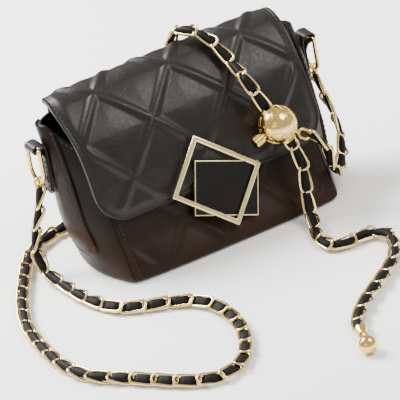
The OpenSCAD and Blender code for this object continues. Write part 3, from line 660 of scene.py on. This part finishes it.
rowPlaces = [flapAlong[np.argmin(np.linalg.norm(flapPath - p, axis=1))] for p in ((-20.5, 68), (-6, 99), (19, 121.5))]


def flapRow(s):  # 0 at the top row of diamonds' crossings, 1 and 2 below it
    return np.where(s > rowPlaces[2], (rowPlaces[2] - s) / quiltSet["row"],
            np.where(s < rowPlaces[0], 2 + (rowPlaces[0] - s) / quiltSet["row"],
                np.interp(s, rowPlaces, [2, 1, 0])))


def flapHalf(s):
    c = flapSet["corner"]
    rounded = flapSet["half"] - c + np.sqrt(np.maximum(c * c - np.maximum(c - s, 0) ** 2, 0))
    return rounded - flapSet["backNarrow"] * ease(s, flapLong - 34, flapLong - 18) \
        + flapSet["ridgeWide"] * ease(s, flapLong - 90, flapLong - 50)


def flapEdge(x, s):  # distance from the edge
    c = flapSet["corner"]
    inCorner = (s < c) & (np.abs(x) > flapSet["half"] - c)
    straight = np.minimum(np.minimum(flapHalf(s) - np.abs(x), s), flapLong - s)
    return np.maximum(np.where(inCorner, c - np.hypot(np.abs(x) - flapSet["half"] + c, c - s), straight), 0)


def flapPoint(x, s, depth=None):
    spot, out = carried(flapPath, flapAlong, s), carried(flapOut, flapAlong, s)
    if depth is None:
        d = flapEdge(x, s)
        depth = quilt(x, flapRow(s)) * ease(d, 4, 10) - flapSet["edgeLow"] * (1 - ease(d, 3.4, 8))
        depth = depth - groove(d, flapSet["seam"], flapSet["seamWide"], flapSet["seamDeep"])
        depth = depth - (1 - dome(d)) * flapSet["rimDrop"]
        depth = depth * (1 - flapSet["backSoft"] * ease(s, flapLong - 30, flapLong - 12))
    return np.stack([x, spot[..., 0] + out[..., 0] * depth, spot[..., 1] + out[..., 1] * depth], -1)


def makeFlap():
    c = flapSet["corner"]
    rows = np.concatenate([c * (1 - np.sin(np.radians(np.linspace(90, 0, 30)))),
            np.arange(c + flapSet["step"], flapLong - 1.2, flapSet["step"]),
            flapLong - np.array([1.1, 0.6, 0.25, 0])])
    rim = np.array(flapSet["rim"])
    half = flapHalf(rows)[:, None]
    inside = (half - 4.6) * np.linspace(-1, 1, flapSet["columns"])[None, :]
    x = np.concatenate([-(half - rim), inside, (half - rim[::-1])], axis=1)
    s = np.repeat(rows[:, None], x.shape[1], axis=1)
    outer = flapPoint(x, s)
    outer[..., 2] += softNoise(outer, 26, 0.35) * ease(flapEdge(x, s), 2, 8)
    under = -flapSet["under"] + (flapSet["under"] - flapSet["underBack"]) * ease(s, flapLong - 34, flapLong - 20)
    inner = flapPoint(x * 0.9985, s, under)
    piece = shell("flapQuilted", outer, inner, [calfBlack, edgePaintHighlight], 1)
    sideS = np.append(np.linspace(flapLong - flapSet["backSeam"], c, 90), c)
    sideX = flapHalf(sideS) - flapSet["seam"]
    bend = np.radians(np.linspace(0, 90, 24))
    r = c - flapSet["seam"]
    bendX, bendS = flapSet["half"] - c + r * np.cos(bend), c - r * np.sin(bend)
    lineX = np.concatenate([sideX, bendX[1:], np.linspace(bendX[-1], -bendX[-1], 80)[1:-1], -bendX[::-1][:-1],
            -sideX[::-1]])
    lineS = np.concatenate([sideS, bendS[1:], np.full(78, bendS[-1]), bendS[::-1][:-1], sideS[::-1]])
    normals = np.column_stack([lineX * 0, carried(flapOut, flapAlong, lineS)])
    rows = [sewRow(flapPoint(lineX, lineS), normals)]
    reach = flapHalf(flapLong) - flapSet["backSeam"]
    end = flapPoint(np.linspace(-reach, reach, 60), np.full(60, flapLong - flapSet["backSeam"]))
    rows.append(sewRow(end, np.tile([0, 1, 0], (60, 1))))
    return piece, sew("flapStitches", rows)


flapPiece, flapThread = makeFlap()
for piece in (flapPiece, flapThread):
    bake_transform(piece)
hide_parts("flap_panel")
print("flap made")


# ---- Front and back panels, quilted like the flap
panelSet = {"rim": (0, 0.15, 0.45, 0.9, 1.6, 2.6, 3.6), "flatHalf": 79.6, "columns": 170, "quilt": 0.7, "inset": 0.35,
        "rimDrop": 0.9, "seam": 5, "seamWide": 0.6, "seamDeep": 0.35, "snapZ": 57.2, "snapDeep": 1.1,
        "snapRim": (8.2, 9.4), "snapClear": (9, 18), "noSnap": -100, "backTop": 115, "backRow": 0.4}


def quiltedPanel(name, path, rowAt, snapZ):  # the quilting stays clear of a snap at snapZ
    along = lengthsAlong(path)
    out = leftSide(path)
    rim = np.array(panelSet["rim"])
    x = np.concatenate([-(bodySet["halfWidth"] - rim),
            np.linspace(-panelSet["flatHalf"], panelSet["flatHalf"], panelSet["columns"]),
            bodySet["halfWidth"] - rim[::-1]])
    gx, gs = np.meshgrid(x, along)
    d = np.minimum(bodySet["halfWidth"] - np.abs(gx), np.minimum(gs, along[-1] - gs))
    near = np.hypot(gx, path[:, 1][:, None] - snapZ)
    depth = quilt(gx, rowAt(gs), panelSet["quilt"]) * ease(d, 4, 11) * ease(near, *panelSet["snapClear"]) \
        - panelSet["inset"] - panelSet["snapDeep"] * (1 - ease(near, *panelSet["snapRim"]))
    depth = depth - (1 - dome(d)) * panelSet["rimDrop"] \
        - groove(bodySet["halfWidth"] - np.abs(gx), panelSet["seam"], panelSet["seamWide"], panelSet["seamDeep"])
    outer = swept(gx, path, out, depth)
    outer[..., 1] += softNoise(outer, 30, 0.3) * ease(d, 2, 10)
    inner = swept(gx, path, out, -bodySet["wall"] + 0.2)
    piece = shell(name, roundBase(outer), roundBase(inner), [calfPaintedShade])
    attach(piece, "root")
    rows = []
    for side in (-1, 1):
        x = np.full(len(path), side * (bodySet["halfWidth"] - panelSet["seam"]))
        line = roundBase(np.column_stack([x, path + out * -0.55]))
        rows.append(sewRow(line[::3], np.column_stack([np.zeros(len(path)), out])[::3]))
    return piece, rows


frontPath = evenly(np.concatenate([[(-40.9, 0.5), (-42.1, 1.1), (-42.6, 2.4)],
        frontLine[(frontLine[:, 1] > 4.5) & (frontLine[:, 1] < 96)]]), 0.8)
frontAlong = lengthsAlong(frontPath)
lift = np.argmin(np.abs(frontPath[:, 1] - 62))
frontPanel, frontRows = quiltedPanel("frontPanelQuilted", frontPath,
        lambda s: 2 + (frontAlong[lift] - s) / quiltSet["row"], panelSet["snapZ"])
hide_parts("front_panel")
backPath = np.column_stack([np.full(144, backY), np.linspace(panelSet["backTop"], 0.6, 144)])
backPanel, backRows = quiltedPanel("backPanelQuilted", backPath, lambda s: s / quiltSet["row"] + panelSet["backRow"],
        panelSet["noSnap"])
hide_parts("back_panel")
print("panels made")


# ---- Gussets: a bulging leather side with a raised tongue, as functions of u (front to back) and height
# Seams are a place from the edge, a width and a depth; shares are of the width and height
gussetSet = {"low": 0.6, "thick": 2.3, "edge": 105, "upperSeam": (3.4, 0.7, 0.35), "lowerSeam": (6.4, 0.7, 0.3),
        "rimDrop": 0.7}
tongueSet = {"low": 14, "half": 0.28, "lift": 0.5, "thick": 1.5, "tip": 0.133, "rim": 1.2, "seam": (2.8, 0.6, 0.35),
        "seamHalf": 0.245, "seamLow": 0.16, "seamRound": 0.127, "seamOut": 1.95}


def bulgeAt(z):
    low = bodySet["bulgeLow"]
    return bodySet["bulge"] * (low + (1 - low) * ease(z, 0, bodySet["bulgeFull"] * bodySet["height"]))


def gussetFlat(u, z):
    y = np.interp(np.minimum(z, 0.955 * bodySet["height"]), frontLine[:, 1], frontLine[:, 0]) + 0.5
    x = bodySet["halfWidth"] + 0.2 + bulgeAt(z) * np.maximum(np.sin(np.pi * np.clip(u, 0, 1)), 0) ** 0.75
    return np.stack([x, y + (backY - 0.5 - y) * u], -1)


def gussetPoint(u, v, low, t):
    top = bodySet["height"] * (0.835 + 0.12 * ease(u, 0, 0.35))
    z = low + (top - low) * v
    d = gussetFlat(np.minimum(u + 0.03, 1), z) - gussetFlat(np.maximum(u - 0.03, 0), z)
    out = unit(np.stack([d[..., 1], -d[..., 0]], -1))
    p = gussetFlat(u, z) + out * np.asarray(t)[..., None]
    return np.stack([np.maximum(p[..., 0], bodySet["halfWidth"] + 0.1), p[..., 1], z], -1), \
        np.stack([out[..., 0], out[..., 1], z * 0], -1)


def makeGusset(side):
    u, v = np.meshgrid(0.5 - 0.5 * np.cos(np.pi * np.linspace(0, 1, 70)), np.concatenate([
        np.linspace(0, 0.93, 70), np.array([0.945, 0.955, 0.962, 0.97, 0.98, 0.99, 0.996, 1])]))
    high = (1 - v) * gussetSet["edge"]  # millimetres below the top edge
    depth = -groove(high, *gussetSet["upperSeam"]) - groove(high, *gussetSet["lowerSeam"]) \
        - (1 - dome(high)) * gussetSet["rimDrop"]
    outer, _ = gussetPoint(u, v, gussetSet["low"], depth)
    outer[..., 0] += softNoise(outer, 20, 0.5) * ease(u, 0, 0.2) * (1 - ease(u, 0.8, 1)) * ease(v, 0, 0.1)
    inner, _ = gussetPoint(u, v, gussetSet["low"], np.full(u.shape, -gussetSet["thick"]))
    mirror = np.array([side, 1, 1])
    gusset = shell("leftGussetLeather" if side < 0 else "rightGussetLeather", roundBase(outer * mirror),
            roundBase(inner * mirror), [calfPaintedShade])
    seamV = np.full(60, 1 - gussetSet["upperSeam"][0] / gussetSet["edge"])
    line, normal = gussetPoint(np.linspace(0.04, 0.96, 60), seamV, gussetSet["low"], np.full(60, -0.1))
    rows = [sewRow(line * mirror, normal * mirror)]
    # tongue: its half width grows from a rounded lower end
    v = np.concatenate([(1 - np.cos(np.linspace(0, np.pi / 2, 16))) * tongueSet["tip"],
            np.linspace(0.15, 1, 60)])
    half = tongueSet["half"] * np.sqrt(np.clip(1 - (1 - np.minimum(v / tongueSet["tip"], 1)) ** 2, 0.0004, 1))
    rim = np.array([0, 0.01, 0.03, 0.06, 0.1, 0.15])
    w = np.concatenate([-(1 - rim), np.linspace(-0.8, 0.8, 24), 1 - rim[::-1]])
    gu, gv = 0.5 + half[:, None] * w[None, :], np.repeat(v[:, None], len(w), 1)
    edge = np.minimum((1 - np.abs(w))[None, :] * half[:, None] * 78, gv * 92)
    depth = tongueSet["lift"] + tongueSet["thick"] - (1 - dome(edge / tongueSet["rim"])) * tongueSet["rim"] \
        - groove(edge, *tongueSet["seam"])
    outer, _ = gussetPoint(gu, gv, tongueSet["low"], depth)
    inner, _ = gussetPoint(gu, gv, tongueSet["low"], np.full(gu.shape, 0.25))
    tongue = shell("leftGussetTongue" if side < 0 else "rightGussetTongue", outer * mirror, inner * mirror,
            [calfBrownBlack])
    bend = np.radians(np.linspace(0, 180, 16))[1:-1]
    wide, low = tongueSet["seamHalf"], tongueSet["seamLow"]
    lineU = np.concatenate([np.full(50, 0.5 - wide), 0.5 - wide * np.cos(bend), np.full(50, 0.5 + wide)])
    lineV = np.concatenate([np.linspace(1, low, 50), low - tongueSet["seamRound"] * np.sin(bend),
            np.linspace(low, 1, 50)])
    line, normal = gussetPoint(lineU, lineV, tongueSet["low"], np.full(len(lineU), tongueSet["seamOut"]))
    rows.append(sewRow(line * mirror, normal * mirror))
    for piece, node, slot in ((gusset, "gusset", "black_leather"), (tongue, "gusset_tongue", "brown_black_leather")):
        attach(piece, "root")
        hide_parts(("left_" if side < 0 else "right_") + node)
    return rows


gussetRows = makeGusset(-1) + makeGusset(1)
print("gussets made")


# ---- Base: leather over its board, set in between the panels and the gussets
baseSet = {"front": -36.5, "back": 37.5, "inset": 3.4, "low": 0.5, "high": 3.1, "rimLift": 0.8, "rim": 3,
        "ripple": (25, 0.3)}


def makeBase():
    y = np.linspace(baseSet["front"], baseSet["back"], 60)
    across = np.clip((y + backY) / (bodySet["depth"] - 0.5), 0, 1)
    half = bodySet["halfWidth"] + bulgeAt(3.0) * np.sin(np.pi * across) ** 0.75 - baseSet["inset"]
    gx = np.linspace(-1, 1, 80)[None, :] * half[:, None]
    gy = np.repeat(y[:, None], 80, 1)
    edge = np.minimum(half[:, None] - np.abs(gx), np.minimum(gy - baseSet["front"], baseSet["back"] - gy))
    low = baseSet["low"] + softNoise(np.stack([gx, gy, gx * 0], -1), *baseSet["ripple"]) \
        + baseSet["rimLift"] * (1 - ease(edge, 0, baseSet["rim"]))
    base = shell("basePanelLeather", roundBase(np.stack([gx, gy, low], -1)),
            np.stack([gx, gy, gx * 0 + baseSet["high"]], -1), [calfBrownBlack])
    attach(base, "root")
    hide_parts("base_panel")


makeBase()
print("base made")


# ---- Tabs: a strip of leather folded round the ring's bar, sewn down on the tongue
tabSet = {"x": 105.5, "ringX": 113.7, "y": 21, "ringZ": 98, "half": 6.5, "thick": 1.4, "low": 58.5,
        "round": 0.7, "seam": (2, 0.45, 0.18), "seamTop": 88, "seamLow": 67}


def makeTab(side):
    x, rx, rz = tabSet["x"], tabSet["ringX"], tabSet["ringZ"]
    path = evenly(smoothLine([
        (x + 2.35, tabSet["low"] + 2), (x + 2.3, 70), (x + 2.3, 82), (x + 2.5, 90), (x + 4.6, 94), (rx - 1.2, 95.2),
        (rx + 1.6, 95.9), (rx + 2.9, rz), (rx + 1.9, rz + 2.3), (rx - 0.6, rz + 3), (x + 4.6, rz + 2.9),
        (x + 1.9, rz + 1), (x + 0.85, rz - 5), (x + 0.8, 82), (x + 0.8, 70), (x + 0.8, tabSet["low"])], 8), 0.7)
    along = lengthsAlong(path)
    out = leftSide(path) * -1
    reach = np.minimum(along, along[-1] - along)
    half = np.sqrt(np.clip(tabSet["half"] ** 2 - np.maximum(tabSet["half"] - reach, 0) ** 2, 0.04, None))
    rim = np.array([0, 0.1, 0.3, 0.6, 1.1])
    w = np.array([np.concatenate([-(h - rim * min(1, h / 3)), np.linspace(-1, 1, 16) * max(h - 1.6, h * 0.3),
            h - rim[::-1] * min(1, h / 3)]) for h in half])
    edge = half[:, None] - np.abs(w)
    t = tabSet["thick"] / 2 * dome(edge / tabSet["round"] + 0.12) - groove(edge, *tabSet["seam"])

    def skin(sign):
        return np.stack([(path[:, 0][:, None] + sign * out[:, 0][:, None] * t) * side, tabSet["y"] + w,
                path[:, 1][:, None] + sign * out[:, 1][:, None] * t], -1)
    tab = shell("leftTabStrip" if side < 0 else "rightTabStrip", skin(1), skin(-1), [calfBlack])
    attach(tab, "root")
    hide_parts("left_tab" if side < 0 else "right_tab")
    bend = np.radians(np.linspace(180, 360, 20))
    r, top, low = tabSet["half"] - tabSet["seam"][0], tabSet["seamTop"], tabSet["seamLow"]
    lineY = np.concatenate([np.full(20, -r), r * np.cos(bend), np.full(20, r)])
    lineZ = np.concatenate([np.linspace(top, low, 20), low + r * np.sin(bend), np.linspace(low, top, 20)])
    line = np.column_stack([np.full(60, side * (x + 3.05)), tabSet["y"] + lineY, lineZ])
    return [sewRow(line, np.tile([side, 0, 0], (60, 1)))]


tabRows = makeTab(-1) + makeTab(1)
bodyThread = sew("bodyStitches", frontRows + backRows + gussetRows + tabRows)
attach(bodyThread, "root")
print("tabs and stitches made")


# ---- Lining and slip pocket
liningSet = {"half": 83, "inside": 4.75, "thick": 0.6, "ripple": (14, 0.25)}
pocketSet = {"half": 55, "low": 31.2, "high": 83, "back": 36.3, "bulge": 5.2, "round": 5, "ripple": (16, 0.3)}


def makeLining():
    inside = frontLine - leftSide(frontLine) * liningSet["inside"]
    rising = inside[(inside[:, 1] > 9) & (inside[:, 1] < 93)]
    falling = [(37.2, 93), (37.2, 60), (37.2, 20), (37, 9), (34, 6), (20, 5.8), (-10, 5.8), (-28, 5.9),
            (rising[0][0] + 3, 6.6)]
    path = evenly(smoothLine(np.concatenate([falling, rising[::12], rising[-1:]]), 8), 1.6)
    along = lengthsAlong(path)
    out = leftSide(path)
    gx = np.meshgrid(np.linspace(-liningSet["half"], liningSet["half"], 90), along)[0]
    ripple = softNoise(swept(gx, path, out, 0), *liningSet["ripple"])
    reach = liningSet["thick"] / 2
    lining = shell("liningCloth", swept(gx, path, out, ripple + reach), swept(gx, path, out, ripple - reach),
            [liningTwill])
    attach(lining, "root")
    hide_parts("lining")


def makePocket():
    half, low = pocketSet["half"], pocketSet["low"]
    gx, gz = np.meshgrid(np.linspace(-half, half, 90), np.linspace(low, pocketSet["high"], 50))
    lift = np.minimum(dome((half - np.abs(gx)) / pocketSet["round"]), dome((gz - low) / pocketSet["round"]))
    y = pocketSet["back"] - pocketSet["bulge"] * lift
    y = y + softNoise(np.stack([gx, y, gz], -1), *pocketSet["ripple"]) * lift
    outer, inner = np.stack([gx, y - 0.3, gz], -1), np.stack([gx * 0.99, y + 0.4, gz], -1)
    pocket = shell("slipPocketCloth", outer, inner, [liningTwill])
    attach(pocket, "root")
    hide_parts("slip_pocket")


makeLining()
makePocket()
print("lining made")


# ---- Hard parts: rounded copies of the CAD shapes that have sharp edges
bevelSet = {"frame": 1.15, "plate": 0.4, "plateEdge": 0.25, "spring": 0.04}


def rounded(node, name, width, material, body, slot):
    source = nodes[node].data
    work = bmesh.new()
    work.from_mesh(source)
    bmesh.ops.remove_doubles(work, verts=work.verts, dist=1e-6)
    bmesh.ops.dissolve_limit(work, angle_limit=math.radians(0.5), verts=work.verts, edges=work.edges)
    mesh = bpy.data.meshes.new(name)
    work.to_mesh(mesh)
    work.free()
    mesh.materials.clear()
    mesh.materials.append(material)
    piece = linkObject(name, mesh)
    bevel = piece.modifiers.new("edges", "BEVEL")
    bevel.width, bevel.segments, bevel.limit_method, bevel.angle_limit = width * mm, 3, "ANGLE", math.radians(40)
    mesh.shade_smooth()
    mesh.set_sharp_from_angle(angle=math.radians(30))
    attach(piece, body)
    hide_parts(node)
    return piece


rounded("ornament_frame", "ornamentFrameBar", bevelSet["frame"], brushedPaleGold, "flap", "pale_gold_metal")
rounded("ornament_plate", "ornamentPlateEnamel", bevelSet["plate"], blackEnamel, "flap", "black_enamel")
rounded("ornament_plate_rim", "ornamentPlateEdge", bevelSet["plateEdge"], brushedPaleGold, "flap",
        "pale_gold_metal")


# The button's return spring, which shortens against the ball's far wall as the button goes in: here a rounded copy with
# a mesh of its own
spring = rounded("button_spring", "buttonSpringWire", bevelSet["spring"], springWire, "ball", "spring_steel")
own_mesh(spring)


# Fine ribs over the ball, clear of the bore, the button and the eye
ribSet = {"radius": 13.55, "wire": 0.34, "meridians": 7, "parallels": (-6.2, 7.4), "seamTurn": 28,
        "boreClear": 6.6, "eyeClear": 0.28, "buttonClear": 0.26}


def makeRibs():
    toWorld = np.array(ballMatrix())
    tilt = math.radians(ribSet["seamTurn"])
    seam = np.array([[math.cos(tilt), 0, math.sin(tilt)], [0, 1, 0], [-math.sin(tilt), 0, math.cos(tilt)]])
    turn = np.radians(np.arange(0, 361, 4))
    circles = []
    for i in range(ribSet["meridians"]):
        a = math.pi * i / ribSet["meridians"]
        circles.append(np.column_stack([np.sin(turn) * math.cos(a), np.sin(turn) * math.sin(a), np.cos(turn)])
                * ribSet["radius"])
    for h in ribSet["parallels"]:
        r = math.sqrt(ribSet["radius"] ** 2 - h * h)
        circles.append(np.column_stack([r * np.cos(turn), r * np.sin(turn), np.full(len(turn), h)]))
    side = math.radians(ballFrame["side"])
    eye = np.array([math.sin(side), 0, math.cos(side)])
    points, faces = [], []
    for circle in circles:
        p = circle @ seam.T
        clear = (np.hypot(p[:, 0], p[:, 1]) > ribSet["boreClear"]) \
            & (np.linalg.norm(unit(p) - eye, axis=1) > ribSet["eyeClear"]) \
            & (np.linalg.norm(unit(p) - np.array([-1, 0, 0]), axis=1) > ribSet["buttonClear"])
        runs = np.split(np.arange(len(p)), np.where(~clear)[0])
        for run in runs:
            run = run[clear[run]]
            if len(run) < 4:
                continue
            rings, quads = roundTube(p[run], ribSet["wire"], 6, sum(len(q) for q in points))
            points.append(rings @ toWorld[:3, :3].T + toWorld[:3, 3])
            faces += quads
    ribs = makeMesh("ballRibs", np.concatenate(points), faces, [polishedGold])
    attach(ribs, "ball")


makeRibs()
print("hardware made")


# ---- Floor and light
stageSet = {"floor": "#fefdfc", "sky": "#fbf8f4", "world": 0.85, "top": 80, "key": 8.5, "fill": 1.5, "rim": 4}


def makeStage():
    mesh = bpy.data.meshes.new("floor")
    mesh.from_pydata([(-4, -4, 0), (4, -4, 0), (4, 4, 0), (-4, 4, 0)], [], [(0, 1, 2, 3)])
    floor = linkObject("floor", mesh)
    # Studio paper: white and matt
    material, _, shader = startMaterial("studioPaper", Roughness=0.9)
    shader.inputs["Base Color"].default_value = toLinear(stageSet["floor"])
    mesh.materials.append(material)
    world = bpy.data.worlds.new("studio")
    scene.world = world
    world.use_nodes = True
    sky = world.node_tree.nodes["Background"]
    sky.inputs["Color"].default_value = toLinear(stageSet["sky"])
    sky.inputs["Strength"].default_value = stageSet["world"]
    for name, place, aim, size, power in (
            ("topLight", (-0.5, 0.9, 1.15), (0, -0.05, 0.02), (0.9, 0.7), stageSet["top"]),
            ("keyLight", (0.5, -0.45, 0.95), (0, 0, 0.05), (0.6, 0.5), stageSet["key"]),
            ("fillLight", (-0.9, -0.9, 0.7), (0, -0.05, 0.04), (0.7, 0.7), stageSet["fill"]),
            ("rimLight", (-0.7, 0.6, 0.6), (0, 0, 0.08), (0.3, 0.6), stageSet["rim"])):
        data = bpy.data.lights.new(name, "AREA")
        data.shape, data.size, data.size_y, data.energy = "RECTANGLE", size[0], size[1], power
        lamp = linkObject(name, data)
        lamp.location = place
        lamp.rotation_euler = (Vector(aim) - Vector(place)).to_track_quat("-Z", "Y").to_euler()


makeStage()
print("stage made")
